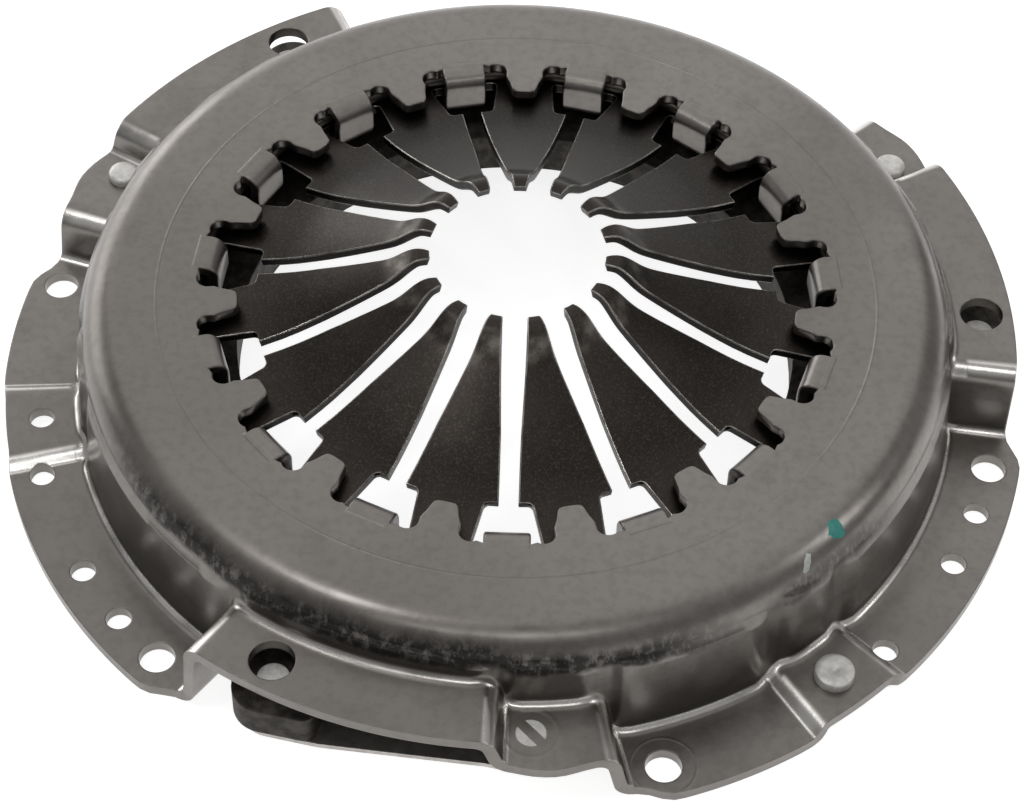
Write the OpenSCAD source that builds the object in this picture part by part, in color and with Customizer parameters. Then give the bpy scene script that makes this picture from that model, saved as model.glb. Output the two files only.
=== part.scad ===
// Clutch cover assembly with a diaphragm spring, shown free, not bolted down.
// Origin on the clutch axis in the plane that bolts to the flywheel, +Z away from it.
// Angles count from the front of the part, which faces -Y, towards +X.

/* [Cover pressing] */
// Thickness of the steel sheet
sheet_t = 3.2; // [2.8:0.1:3.5]
// Height of the top face over the mounting plane
cover_h = 38.5; // [37:0.5:41]
// Outer radius of the shoulder between top face and wall
shoulder_r = 10.4; // [9:0.1:11]
// Play between the rim of the spring and the start of the shoulder
dome_play = 1.2; // [0.8:0.1:2]
// Inner radius of the bends in the flange
bend_r = 2.5; // [2:0.1:3]

/* [Flange] */
// Width of the bolted flange, from the wall to its rim
flange_w = 20.4; // [19:0.1:22]
// How far the balance pads end inside that rim
balance_pad_in = 1; // [0:0.5:3]
// How far the bridges end inside that rim
bridge_in = 5; // [3:0.5:6]
// How far the strap pads end inside that rim
pad_in = 2.5; // [1:0.5:4]
// Radius of the rounded lobe of each strap pad
pad_lobe_r = 20; // [18:0.5:22]
// Height from the bridges up to the top face
bridge_drop = 13.1; // [12.7:0.1:14]
// Height from the strap pads up to the bridges
strap_pad_drop = 8.1; // [7.5:0.1:8.6]
// Rise of the balance pads over the mounting plane
balance_pad_rise = 2.9; // [2.6:0.1:3.4]

/* [Flange holes] */
// Distance of the bolt circle from the rim
bolt_edge = 8; // [7:0.1:9]
// Bolt hole diameter
bolt_d = 9; // [8.4:0.1:9.5]
// Distance of the dowel and tooling holes from the rim
dowel_edge = 8.2; // [7:0.1:9]
// Diameter of the dowel and tooling holes
dowel_d = 6.5; // [6:0.1:7.5]
// Distance of the balance holes from the rim
balance_edge = 10.3; // [9:0.1:11.5]
// Diameter of the balance holes
balance_d = 6.5; // [6:0.1:7]
// Diameter of the access holes over the lug rivets
access_d = 11.2; // [10.5:0.1:12]

/* [Tabs and teeth] */
// How far the flat teeth reach inside the tilting circle
tooth_reach = 12; // [10.5:0.1:12.5]
// Width of a tooth at its tip
tooth_tip_w = 6.4; // [5.6:0.1:7]
// How far the round notch ends are centred inside the tilting circle
notch_in = 3.7; // [3.3:0.1:4.1]
// Radius of a notch end
notch_r = 2.7; // [2.4:0.1:2.9]
// Width of a retaining tab
tab_w = 11.4; // [10.6:0.1:12]
// How far the inward face of the tabs lies inside the tilting circle
tab_in = 6.2; // [5.8:0.1:6.6]
// Inner radius of the bends of the tabs
tab_bend_r = 1.2; // [1:0.1:1.5]
// How far the hooked end of a tab reaches past the tilting circle
hook_out = 1.2; // [0.6:0.1:1.8]

/* [Diaphragm spring] */
// Thickness of the spring
spring_t = 2.45; // [2.2:0.05:2.6]
// Outer radius of the spring
spring_r = 103; // [102:0.25:104]
// Width from the circle on which the spring tilts to its rim
rim_w = 20; // [19.5:0.1:20.5]
// Cone angle of the rim in the free state
rim_cone = 12; // [11:0.25:12.5]
// Slope of the fingers in the free state
finger_slope = 20.6; // [19.5:0.1:21.5]
// How far inside the tilting circle the fingers start to rise more steeply
finger_rise_in = 24; // [22:0.5:26]
// Radius of the circle left open by the finger tips
tip_r = 22.4; // [21.5:0.1:23.5]
// Width of a finger tip
tip_w = 3.9; // [3.4:0.1:4.4]
// Width of the slots between the fingers
slot_w = 4.6; // [4:0.1:5]
// How far inside the tilting circle the windows begin
window_in = 15.6; // [15:0.1:16.5]
// How far inside the tilting circle the windows end
window_out = 1.5; // [1.2:0.1:1.7]
// Width of a window at its inner end
window_in_w = 12; // [11.6:0.1:13]
// Diameter of the wire of the fulcrum ring
wire_d = 3.2; // [3:0.1:3.4]
// Saw gap between neighbouring segments of the spring
segment_gap = 0.4; // [0.4:0.05:0.5]

/* [Pressure plate] */
// How far the bore of the plate lies inside the tilting circle
plate_bore_in = 10.3; // [9:0.1:11.5]
// How far the plate reaches past the rim of the spring
plate_out = 4.5; // [3:0.25:5]
// Height of the friction face over the mounting plane
friction_z = 6.9; // [6.5:0.1:7.1]
// Depth of the inner top face of the plate under the top of the cover
plate_drop = 19; // [18.75:0.25:20.5]
// How far the ridge that carries the spring lies inside its rim
ridge_in = 3; // [2:0.25:4]
// Radius of the ridge section
ridge_r = 4; // [3.5:0.1:4.5]
// Thickness of a strap lug
lug_t = 8.6; // [7.5:0.1:9]

/* [Leaf straps] */
// Distance of the strap rivets from the wall
strap_out = 7.4; // [7:0.1:8]
// Width of a strap
strap_w = 17.5; // [16:0.5:18]
// Thickness of one leaf
leaf_t = 0.48; // [0.4:0.02:0.48]
// Step from leaf to leaf
leaf_pitch = 0.5; // [0.5:0.01:0.52]
// Depth of the lug seats under the strap pads
lug_drop = 6.9; // [6.5:0.1:7.1]

/* [Rivets] */
// Shank diameter of the strap rivets
rivet_d = 6.3; // [5.8:0.1:6.5]
// Head diameter of the strap rivets on the cover
rivet_head_d = 8.4; // [8:0.1:9.4]
// Head height of the strap rivets on the cover
rivet_head_h = 2.4; // [2:0.1:2.8]
// Diameter of the flush rivet that has a slot
slotted_rivet_d = 7.6; // [7:0.1:8]
// Head diameter of the balance rivet
balance_head_d = 10; // [9:0.1:11]
// Head height of the balance rivet
balance_head_h = 2.8; // [2.4:0.1:3.2]

/* [Hidden] */

// Smoothness of the turned forms and of the small round ones
round_fn = 180;
small_fn = 48;

// Turn that brings angle 0 to the front
front = -90;
// Straps, and with them the repeats of the flange
straps = 3;
strap_turn = 360 / straps;
leaves = 3;
// Fingers of the spring, and with them the tabs and teeth
fingers = 15;
finger_turn = 360 / fingers;

// Clearances: riveted or seated, running, and under the tabs
seat_gap = 0.1;
run_gap = 0.3;
hook_gap = 0.9;
rivet_gap = 0.1;

// Main radii, from the rim of the spring in to the teeth and out to the flange
pivot_r = spring_r - rim_w;
dome_r = spring_r + dome_play;
wall_r = dome_r + shoulder_r;
flange_r = wall_r + flange_w;
balance_pad_r = flange_r - balance_pad_in;
bridge_r = flange_r - bridge_in;
strap_pitch_r = wall_r + strap_out;
bolt_pcd = 2 * (flange_r - bolt_edge);
dowel_pcd = 2 * (flange_r - dowel_edge);
balance_pcd = 2 * (flange_r - balance_edge);
tooth_tip_r = pivot_r - tooth_reach;
notch_pitch_r = pivot_r - notch_in;
tab_face_r = pivot_r - tab_in;
hook_reach_r = pivot_r + hook_out;
finger_rise_r = pivot_r - finger_rise_in;
window_in_r = pivot_r - window_in;
window_out_r = pivot_r - window_out;
plate_bore_r = pivot_r - plate_bore_in;
plate_r = spring_r + plate_out;
ridge_pitch_r = spring_r - ridge_in;

// Main heights
bridge_rise = cover_h - bridge_drop - sheet_t;
strap_pad_rise = bridge_rise - strap_pad_drop;
lug_seat_z = strap_pad_rise - lug_drop;
plate_top_z = cover_h - plate_drop;

// Plan of the strap pads: reach of the lobe, and radius beside it
pad_lobe_x = flange_r - pad_in;
pad_neck_r = pad_lobe_x - 1.5;
// Radius and width where the sides of the teeth meet the notches
tooth_root_r = notch_pitch_r - 1.7;
tooth_root_w = 10.6;

// Angles along one third of the flange
pad_foot_a = 12.4;
balance_ramp_a = 35.2;
balance_foot_a = 46;
bridge_foot_a = 84.6;
bridge_pad_a = 119.3;
bolt_a = 18;
bolts = 6;
balance_a = 40.4;
tooling_a = [48, 71];
dowel_a = 63;
lug_a = -26.5;
cover_rivet_a = 3.4;
lobe_a = 5.5;

// Half runs of the steps of the flange, along its edge
steep_run = 0.9;
pad_run = 1.4;
low_run = 1.6;
// Half length of the flats that the steps are cut from
step_flat = 14;
// Half angles that the steps take out of the flat stretches, and the overlap of neighbours
steep_half = 2.7;
pad_half = 3;
low_half = 1.9;
lap = 0.2;
// Overlap of wall and shoulder, and how far the sheet draws out or in along the wall and at the steps
wall_lap = 0.6;
wall_draw = 0.05;
wall_inset = 0.1;
step_draw = 0.3;

// Fine step of the top: its radius, its depth, and how far the underside lies in from the sheet
top_line_r = dome_r - 11.7;
top_step = 0.1;
top_inset = 0.05;

// Derived heights and radii of the cover
top_t = sheet_t - top_step - top_inset;
underside_z = cover_h - sheet_t;
mid_z = underside_z + top_inset + top_t / 2;
wall_top_z = cover_h - shoulder_r;
step_in_r = wall_r - sheet_t / 2;
tab_back_r = tab_face_r + top_t;
tab_mid_r = tab_face_r + top_t / 2;
tab_root_r = tab_back_r + tab_bend_r;
notch_a = asin((tab_w / 2 + notch_r + 0.1) / notch_pitch_r);

// The spring tilts about its middle surface, under the wire ring
ring_z = underside_z - seat_gap - wire_d / 2;
pivot_z = ring_z - wire_d / 2 - run_gap - spring_t / 2;
ring_r = pivot_r + 0.2;
hook_z = pivot_z - spring_t / 2 - hook_gap;
rim_mid_z = pivot_z - (spring_r - pivot_r) * tan(rim_cone);
rise_mid_z = pivot_z + (pivot_r - finger_rise_r) * tan(rim_cone);
kick_r = 33.5;
kick_z = rise_mid_z + (finger_rise_r - kick_r) * tan(finger_slope);
crest_r = 26;
crest_rise = 6.4;
// Radii of the bends along a finger
rise_bend = 40;
kick_bend = 8;
crest_bend = 5;
// Slots between the fingers from the flare near the tips outwards, as [radius, half width]
slot_sides = [[34, 3.1], [38.5, 2.9], [47, slot_w / 2], [window_in_r + 1, slot_w / 2]];
// Height of the cuts through the spring
cut_h = 2 * cover_h;

// Underside of the spring over the ridge, and the ridge below it
ridge_seat_z = pivot_z - (ridge_pitch_r - pivot_r) * tan(rim_cone) - spring_t / 2 / cos(rim_cone);
ridge_z = ridge_seat_z - run_gap - ridge_r / cos(rim_cone);
ridge_gap_w = 8;
plate_edge = 0.5;
rim_drop = 4;

// Strap frame: x from the lug rivet to the cover rivet
strap_span = 2 * strap_pitch_r * sin((cover_rivet_a - lug_a) / 2);
strap_dir = (cover_rivet_a + lug_a) / 2 + 90;
strap_end = strap_w / 2;
strap_top_z = strap_pad_rise - seat_gap;
strap_low_z = lug_seat_z - run_gap;
lug_flat = 13;
pad_flat = 9;
strap_bend = 10;
pack_t = (leaves - 1) * leaf_pitch + leaf_t;
lug_side = 9;
lug_run = 11.5;
lug_corner = 3;
lug_reach = 20;
lug_spread = 13;
closing_head_d = 8;
closing_head_h = 2.4;
foot_head_d = 10;
foot_head_h = 1.4;
slot_cut_w = 2.2;
slot_cut_depth = 1.4;
slot_cut_a = 40;
balance_foot_h = 2.4;

steel = "dimgray";
iron = "slategray";

// Unit vector at an angle, and a vector turned by an angle
function unit(a) = [cos(a), sin(a)];
function turned(v, a) = [v[0] * cos(a) - v[1] * sin(a), v[0] * sin(a) + v[1] * cos(a)];
function left_of(v) = [-v[1], v[0]];
function towards(p, q) = (q - p) / norm(q - p);

// Samples [point, left normal] along an arc of radius r that rounds the corner a, v, b
function bend_samples(a, v, b, r, n) =
  let (
    u = towards(a, v),
    w = towards(v, b),
    turn = atan2(u[0] * w[1] - u[1] * w[0], u * w),
    side = sign(turn),
    centre = v - r * tan(abs(turn) / 2) * u + side * r * left_of(u)
  )
  [for (i = [0:n]) let (m = turned(left_of(u), turn * i / n)) [centre - side * r * m, m]];

// Outline of a bent sheet of thickness t; path holds [x, y, bend radius] of its middle line
function sheet(path, t, n = 6) =
  let (
    last = len(path) - 1,
    p = [for (q = path) [q[0], q[1]]],
    samples = concat(
      [[p[0], left_of(towards(p[0], p[1]))]],
      [for (i = [1:last - 1]) each bend_samples(p[i - 1], p[i], p[i + 1], path[i][2], n)],
      [[p[last], left_of(towards(p[last - 1], p[last]))]]
    )
  )
  concat(
    [for (s = samples) s[0] + s[1] * t / 2],
    [for (i = [len(samples) - 1:-1:0]) samples[i][0] - samples[i][1] * t / 2]
  );

// Closed outline whose corners [x, y, radius] are rounded; radius 0 stays sharp
function rounded(corners, n = 5) =
  let (k = len(corners), p = [for (q = corners) [q[0], q[1]]])
  [for (i = [0:k - 1])
    each (corners[i][2] == 0
      ? [p[i]]
      : [for (s = bend_samples(p[(i + k - 1) % k], p[i], p[(i + 1) % k], corners[i][2], n)) s[0]])];

// Repeats for the thirds of the flange and for the pitch of the fingers
module each_third() {
  for (i = [0:straps - 1]) rotate([0, 0, front + i * strap_turn]) children();
}
module each_finger(offset_a = 0) {
  for (i = [0:fingers - 1]) rotate([0, 0, front + i * finger_turn + offset_a]) children();
}
module at(a, r, z = 0) {
  rotate([0, 0, a]) translate([r, 0, z]) children();
}

// Flat wedge between two angles
module pie(a0, a1, r) {
  polygon([[0, 0], r * unit(a0), r / cos((a1 - a0) / 2) * unit((a0 + a1) / 2), r * unit(a1)]);
}
// Quarter of a flat ring of sheet; x and y are the signs of its quadrant
module quarter(inner, x, y) {
  outer = inner + sheet_t;
  intersection() {
    difference() {
      circle(r = outer, $fn = round_fn);
      circle(r = inner, $fn = round_fn);
    }
    translate([x < 0 ? -outer : 0, y < 0 ? -outer : 0]) square(outer);
  }
}
// Inner radius of the bend at the foot of the wall, less where the wall is short
function foot_bend(level) = min(bend_r, wall_top_z - level - sheet_t);

// Turned stretch of wall and flange between two angles, out to radius r
module stretch(a0, a1, level, r) {
  bend = foot_bend(level);
  top = level + sheet_t;
  outer = wall_r + wall_draw;
  rotate([0, 0, a0]) rotate_extrude(angle = a1 - a0, $fn = round_fn) {
    translate([outer + bend, top + bend]) quarter(bend, -1, -1);
    translate([outer + bend, level]) square([r - outer - bend, sheet_t]);
    translate([outer - sheet_t, top + bend]) square([sheet_t, wall_top_z + wall_lap - top - bend]);
  }
}
// Turned stretch of plain wall between two heights, behind a step of the flange
module plain_wall(a0, a1, z0, z1, inset) {
  rotate([0, 0, a0]) rotate_extrude(angle = a1 - a0, $fn = round_fn)
    translate([wall_r - sheet_t + inset, z0]) square([sheet_t - 2 * inset, z1 - z0]);
}
// Step of the flange at angle a, from level z0 up or down to level z1, out to radius r
module step(a, half, run, z0, z1, r) {
  intersection() {
    rotate([90, 0, a + 90]) linear_extrude(height = r + 5)
      polygon(sheet([
        [-step_flat, z0 + sheet_t / 2],
        [-run, z0 + sheet_t / 2, bend_r + sheet_t / 2],
        [run, z1 + sheet_t / 2, bend_r + sheet_t / 2],
        [step_flat, z1 + sheet_t / 2]
      ], sheet_t - 2 * wall_draw, 5));
    translate([0, 0, -1]) linear_extrude(height = cover_h) intersection() {
      pie(a - half - lap, a + half + lap, r + 5);
      difference() {
        circle(r = r - step_draw, $fn = round_fn);
        circle(r = step_in_r, $fn = round_fn);
      }
    }
  }
  high = max(z0, z1) + sheet_t / 2;
  plain_wall(a - half - lap / 2, a + half + lap / 2, high, wall_top_z + wall_lap + 0.1, wall_inset);
  if (z0 < z1) plain_wall(a - half - lap / 2, a, z0 + 1, high + 1, 2 * wall_inset);
  else plain_wall(a, a + half + lap / 2, z1 + 1, high + 1, 2 * wall_inset);
}
// Corner taken off a stretch of the bolted flange, towards a step at angle a
module flange_corner(a, side) {
  translate([0, 0, -1]) linear_extrude(height = sheet_t + 2)
    polygon([
      (flange_r + 1) * unit(a + side * 3.4),
      (flange_r - 4) * unit(a),
      (flange_r - 4) * unit(a - side * 3),
      (flange_r + 6) * unit(a - side * 3)
    ]);
}
// Strap pad with its lobed outer edge
module strap_pad() {
  intersection() {
    stretch(bridge_pad_a + pad_half, pad_foot_a + strap_turn - pad_half, strap_pad_rise, flange_r);
    rotate([0, 0, lobe_a + strap_turn]) translate([pad_lobe_x - pad_lobe_r, 0, 0])
      cylinder(h = cover_h, r = pad_lobe_r, $fn = round_fn);
  }
}
// Stepped flange with the wall behind it, over one third
module flange_third() {
  difference() {
    union() {
      stretch(pad_foot_a + pad_half, balance_ramp_a - low_half, 0, flange_r);
      step(balance_ramp_a, low_half, low_run, 0, balance_pad_rise, balance_pad_r);
      stretch(balance_ramp_a + low_half, balance_foot_a - low_half, balance_pad_rise, balance_pad_r);
      step(balance_foot_a, low_half, low_run, balance_pad_rise, 0, balance_pad_r);
      stretch(balance_foot_a + low_half, bridge_foot_a - steep_half, 0, flange_r);
      step(bridge_foot_a, steep_half, steep_run, 0, bridge_rise, bridge_r);
      stretch(bridge_foot_a + steep_half, bridge_pad_a - pad_half, bridge_rise, bridge_r);
      step(bridge_pad_a, pad_half, pad_run, bridge_rise, strap_pad_rise, bridge_r);
      strap_pad();
      step(pad_foot_a + strap_turn, pad_half, pad_run, strap_pad_rise, 0, pad_neck_r);
    }
    flange_corner(bridge_foot_a - steep_half, -1);
    flange_corner(pad_foot_a + pad_half, 1);
    for (i = [0:bolts / straps - 1]) at(bolt_a + i * 360 / bolts, bolt_pcd / 2) hole(bolt_d, 0, sheet_t);
    for (a = concat(tooling_a, [dowel_a])) at(a, dowel_pcd / 2) hole(dowel_d, 0, sheet_t);
    at(balance_a, balance_pcd / 2) hole(balance_d, 0, balance_pad_rise + sheet_t);
    at(lug_a + strap_turn, strap_pitch_r) hole(access_d, bridge_rise, bridge_rise + sheet_t);
    at(cover_rivet_a + strap_turn, strap_pitch_r)
      hole(slotted_rivet_d + 2 * rivet_gap, strap_pad_rise, strap_pad_rise + sheet_t);
  }
}
// Plan of the gap between two teeth: from their tips to the notches, and to the root of the tab
module gap_plan() {
  half_tip = tooth_tip_w / 2;
  half = finger_turn / 2;
  notch = notch_pitch_r * unit(notch_a);
  side = tab_w / 2 + 0.1;
  polygon([
    turned([tooth_tip_r - 1.5, -half_tip + 2.2], half),
    turned([tooth_tip_r + 0.5, -half_tip - 0.1], half),
    turned([tooth_tip_r + 1.4, -half_tip - 0.5], half),
    turned([tooth_root_r, -tooth_root_w / 2], half),
    notch,
    [notch[0] + 0.8, side],
    [tab_root_r, side],
    [tab_root_r, -side],
    [notch[0] + 0.8, -side],
    [notch[0], -notch[1]],
    turned([tooth_root_r, tooth_root_w / 2], -half),
    turned([tooth_tip_r + 1.4, half_tip + 0.5], -half),
    turned([tooth_tip_r + 0.5, half_tip + 0.1], -half),
    turned([tooth_tip_r - 1.5, half_tip - 2.2], -half)
  ]);
}
// Plan of the toothed inner part of the top
module toothed_plan() {
  difference() {
    circle(r = top_line_r, $fn = round_fn);
    circle(r = tooth_tip_r, $fn = round_fn);
    each_finger() gap_plan();
    for (side = [-1, 1]) each_finger(side * notch_a) translate([notch_pitch_r, 0])
      circle(r = notch_r, $fn = small_fn);
  }
}
// Top and shoulder; the toothed part lies a fine step below the rest
module dome() {
  rotate_extrude($fn = round_fn) {
    translate([top_line_r - 1, underside_z]) square([dome_r - top_line_r + 1, sheet_t]);
    translate([dome_r, wall_top_z]) quarter(shoulder_r - sheet_t, 1, 1);
  }
  translate([0, 0, underside_z + top_inset]) linear_extrude(height = top_t) toothed_plan();
}
// Tab bent down through a window of the spring and hooked outwards under its rim
module tab() {
  bend = tab_bend_r + top_t / 2;
  rotate([90, 0, 0]) linear_extrude(height = tab_w, center = true) {
    polygon(sheet([
      [tab_root_r + 2, mid_z],
      [tab_mid_r, mid_z, bend],
      [tab_mid_r, hook_z - top_t / 2, bend],
      [hook_reach_r - top_t / 2, hook_z - top_t / 2]
    ], top_t));
    translate([hook_reach_r - top_t / 2, hook_z - top_t / 2]) circle(d = top_t, $fn = small_fn);
  }
}
module hole(d, z0, z1) {
  translate([0, 0, z0 - 1]) cylinder(h = z1 - z0 + 2, d = d, $fn = small_fn);
}
// Pressed cover: dome, stepped flange, tabs and teeth in one piece of sheet
module cover() {
  color(steel) union() {
    dome();
    each_third() flange_third();
    each_finger() tab();
  }
}
// Wire ring between the cover and the spring
module fulcrum_ring() {
  color(steel) translate([0, 0, ring_z]) rotate_extrude($fn = round_fn)
    translate([ring_r, 0]) circle(d = wire_d, $fn = small_fn);
}

// Segment of the diaphragm spring with one finger; the segments tilt on the ring
module slot_cut() {
  flare = window_in_w / 2 + (window_out_r - window_in_r) * tan(13);
  tip_half = tip_r * sin(finger_turn / 2) - tip_w / 2 * cos(finger_turn / 2);
  side = concat([[tip_r - 3, tip_half], [tip_r, tip_half]], slot_sides);
  linear_extrude(height = cut_h) {
    polygon(concat(side, [for (i = [len(side) - 1:-1:0]) [side[i][0], -side[i][1]]]));
    polygon(rounded([
      [window_in_r, -window_in_w / 2, 1.5],
      [window_out_r, -flare, 2],
      [window_out_r, flare, 2],
      [window_in_r, window_in_w / 2, 1.5]
    ]));
  }
}
module spring_finger(index) {
  half_turn = finger_turn / 2;
  color([0.2, 0.17, 0.15])
    rotate([0, 0, front + (index - 0.5) * finger_turn])
      difference() {
        rotate([0, 0, -half_turn]) rotate_extrude(angle = finger_turn, $fn = round_fn)
          polygon(sheet([
            [spring_r, rim_mid_z],
            [finger_rise_r, rise_mid_z, rise_bend],
            [kick_r, kick_z, kick_bend],
            [crest_r, kick_z + crest_rise, crest_bend],
            [tip_r, kick_z + crest_rise - 0.3]
          ], spring_t));
        for (side = [-1, 1]) rotate([0, 0, side * half_turn]) {
          slot_cut();
          translate([window_out_r - 2, -segment_gap / 2, 0])
            cube([spring_r - window_out_r + 4, segment_gap, cut_h]);
        }
      }
}

// Cast pressure plate: friction ring, ridge for the spring, and three strap lugs
module lug() {
  translate([0, 0, lug_seat_z]) linear_extrude(height = lug_t)
    polygon(rounded([
      [-lug_side, -lug_side, 8],
      [lug_run, -lug_side, lug_corner],
      [lug_spread + 1, lug_reach, 0],
      [-lug_spread, lug_reach, 0]
    ], 8));
}
module pressure_plate() {
  color(iron) difference() {
    union() {
      rotate_extrude($fn = round_fn) polygon([
        [plate_bore_r + plate_edge, friction_z],
        [plate_r - plate_edge, friction_z],
        [plate_r, friction_z + plate_edge],
        [plate_r, plate_top_z - rim_drop],
        [plate_r - rim_drop, plate_top_z],
        [plate_bore_r, plate_top_z],
        [plate_bore_r, friction_z + plate_edge]
      ]);
      translate([0, 0, ridge_z]) rotate_extrude($fn = round_fn)
        translate([ridge_pitch_r, 0]) circle(r = ridge_r, $fn = small_fn);
      each_third() strap_frame() lug();
    }
    each_finger() translate([ridge_pitch_r - 2 * ridge_r, -ridge_gap_w / 2, plate_top_z])
      cube([4 * ridge_r, ridge_gap_w, 2 * ridge_r]);
    each_third() at(lug_a, strap_pitch_r) hole(rivet_d + 2 * rivet_gap, lug_seat_z, lug_seat_z + lug_t);
  }
}

// Frame of a strap: origin at the lug rivet, x towards the cover rivet
module strap_frame() {
  translate(concat(strap_pitch_r * unit(lug_a), [0])) rotate([0, 0, strap_dir]) children();
}
// One leaf of a strap pack, bent from the lug up to the strap pad; leaf 1 is on top
module leaf(strap, number) {
  drop = (number - 1) * leaf_pitch + leaf_t / 2;
  color("silver") rotate([0, 0, front + (strap - 1) * strap_turn]) strap_frame() difference() {
    intersection() {
      rotate([90, 0, 0]) linear_extrude(height = strap_w, center = true)
        polygon(sheet([
          [-strap_end, strap_low_z - drop],
          [lug_flat, strap_low_z - drop, strap_bend],
          [strap_span - pad_flat, strap_top_z - drop, strap_bend],
          [strap_span + strap_end, strap_top_z - drop]
        ], leaf_t, 4));
      linear_extrude(height = cover_h) {
        translate([0, -strap_end]) square([strap_span, strap_w]);
        circle(r = strap_end, $fn = small_fn);
        translate([strap_span, 0]) circle(r = strap_end, $fn = small_fn);
      }
    }
    hole(rivet_d + 2 * rivet_gap, 0, cover_h);
    translate([strap_span, 0, 0]) hole(rivet_d + 2 * rivet_gap, 0, cover_h);
  }
}

// Rivets that hold the straps to the cover; the first is flush and slotted
module cover_strap_rivet(slotted) {
  pad_top = strap_pad_rise + sheet_t;
  pack_low = strap_top_z - pack_t;
  difference() {
    union() {
      translate([0, 0, pack_low - foot_head_h])
        cylinder(h = foot_head_h - seat_gap, d = foot_head_d, $fn = small_fn);
      translate([0, 0, pack_low - seat_gap - 0.5])
        cylinder(h = pad_top - pack_low + 0.6, d = rivet_d, $fn = small_fn);
      if (slotted)
        translate([0, 0, strap_pad_rise]) cylinder(h = sheet_t + 0.2, d = slotted_rivet_d, $fn = small_fn);
      else
        translate([0, 0, pad_top + seat_gap]) cylinder(h = rivet_head_h, d = rivet_head_d, $fn = small_fn);
      if (!slotted)
        translate([0, 0, pad_top - 0.2]) cylinder(h = 0.5, d = rivet_d, $fn = small_fn);
    }
    if (slotted)
      rotate([0, 0, slot_cut_a]) translate([-slotted_rivet_d, -slot_cut_w / 2, pad_top - slot_cut_depth])
        cube([2 * slotted_rivet_d, slot_cut_w, slot_cut_depth + 1]);
  }
}
module cover_strap_rivets() {
  color("silver") for (i = [0:straps - 1])
    rotate([0, 0, front + i * strap_turn]) at(cover_rivet_a, strap_pitch_r) cover_strap_rivet(i == 0);
}
// Rivets that hold the straps under the lugs
module plate_strap_rivets() {
  low = strap_low_z - pack_t;
  top = lug_seat_z + lug_t;
  color("silver") each_third() at(lug_a, strap_pitch_r) {
    translate([0, 0, low - foot_head_h])
      cylinder(h = foot_head_h - seat_gap, d = foot_head_d, $fn = small_fn);
    translate([0, 0, low - seat_gap - 0.5]) cylinder(h = top - low + 1, d = rivet_d, $fn = small_fn);
    translate([0, 0, top + seat_gap]) cylinder(h = closing_head_h, d = closing_head_d, $fn = small_fn);
  }
}
// Balance rivet in the front balance pad
module balance_rivet() {
  pad_top = balance_pad_rise + sheet_t;
  color("silver") rotate([0, 0, front]) at(balance_a, balance_pcd / 2) {
    translate([0, 0, balance_pad_rise - seat_gap - balance_foot_h])
      cylinder(h = balance_foot_h, d = balance_head_d - 1, $fn = small_fn);
    translate([0, 0, balance_pad_rise - 0.5])
      cylinder(h = sheet_t + 1, d = balance_d - 2 * rivet_gap, $fn = small_fn);
    translate([0, 0, pad_top + seat_gap]) cylinder(h = balance_head_h, d = balance_head_d, $fn = small_fn);
  }
}

cover();
fulcrum_ring();
cover_strap_rivets();
balance_rivet();
pressure_plate();
plate_strap_rivets();
leaf(1, 1);  // strap_1_leaf_1
leaf(1, 2);  // strap_1_leaf_2
leaf(1, 3);  // strap_1_leaf_3
leaf(2, 1);  // strap_2_leaf_1
leaf(2, 2);  // strap_2_leaf_2
leaf(2, 3);  // strap_2_leaf_3
leaf(3, 1);  // strap_3_leaf_1
leaf(3, 2);  // strap_3_leaf_2
leaf(3, 3);  // strap_3_leaf_3
spring_finger(1);  // spring_finger_01
spring_finger(2);  // spring_finger_02
spring_finger(3);  // spring_finger_03
spring_finger(4);  // spring_finger_04
spring_finger(5);  // spring_finger_05
spring_finger(6);  // spring_finger_06
spring_finger(7);  // spring_finger_07
spring_finger(8);  // spring_finger_08
spring_finger(9);  // spring_finger_09
spring_finger(10);  // spring_finger_10
spring_finger(11);  // spring_finger_11
spring_finger(12);  // spring_finger_12
spring_finger(13);  // spring_finger_13
spring_finger(14);  // spring_finger_14
spring_finger(15);  // spring_finger_15
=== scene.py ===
import math

import bmesh
import bpy
import numpy as np
from mathutils import Matrix, Vector
from mathutils.bvhtree import BVHTree
from mathutils.geometry import tessellate_polygon


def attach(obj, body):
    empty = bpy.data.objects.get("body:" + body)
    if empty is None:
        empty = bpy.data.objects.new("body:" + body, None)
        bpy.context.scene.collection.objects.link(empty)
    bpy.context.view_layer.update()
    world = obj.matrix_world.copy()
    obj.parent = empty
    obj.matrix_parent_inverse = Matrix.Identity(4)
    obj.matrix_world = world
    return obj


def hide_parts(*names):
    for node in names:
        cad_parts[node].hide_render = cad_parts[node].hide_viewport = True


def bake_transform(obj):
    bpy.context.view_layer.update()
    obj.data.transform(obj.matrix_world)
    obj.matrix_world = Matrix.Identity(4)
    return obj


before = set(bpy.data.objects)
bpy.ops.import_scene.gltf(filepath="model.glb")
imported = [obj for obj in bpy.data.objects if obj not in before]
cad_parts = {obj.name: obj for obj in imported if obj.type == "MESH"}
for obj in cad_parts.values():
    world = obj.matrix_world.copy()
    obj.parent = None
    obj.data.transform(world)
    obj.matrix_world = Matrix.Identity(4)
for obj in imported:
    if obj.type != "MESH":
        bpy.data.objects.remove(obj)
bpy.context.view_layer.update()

# Sizes below are millimetres in the part's frame; angles count from the front (-Y) towards +X
MM = 0.001
FRONT = -90.0
THIRD = 120.0
FINGERS = 15
PITCH = 360.0 / FINGERS


def smooth(x, a, b):
    t = np.clip((x - a) / (b - a), 0.0, 1.0)
    return t * t * (3.0 - 2.0 * t)


def unit(deg):
    return np.array([math.cos(math.radians(deg)), math.sin(math.radians(deg))])


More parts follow.
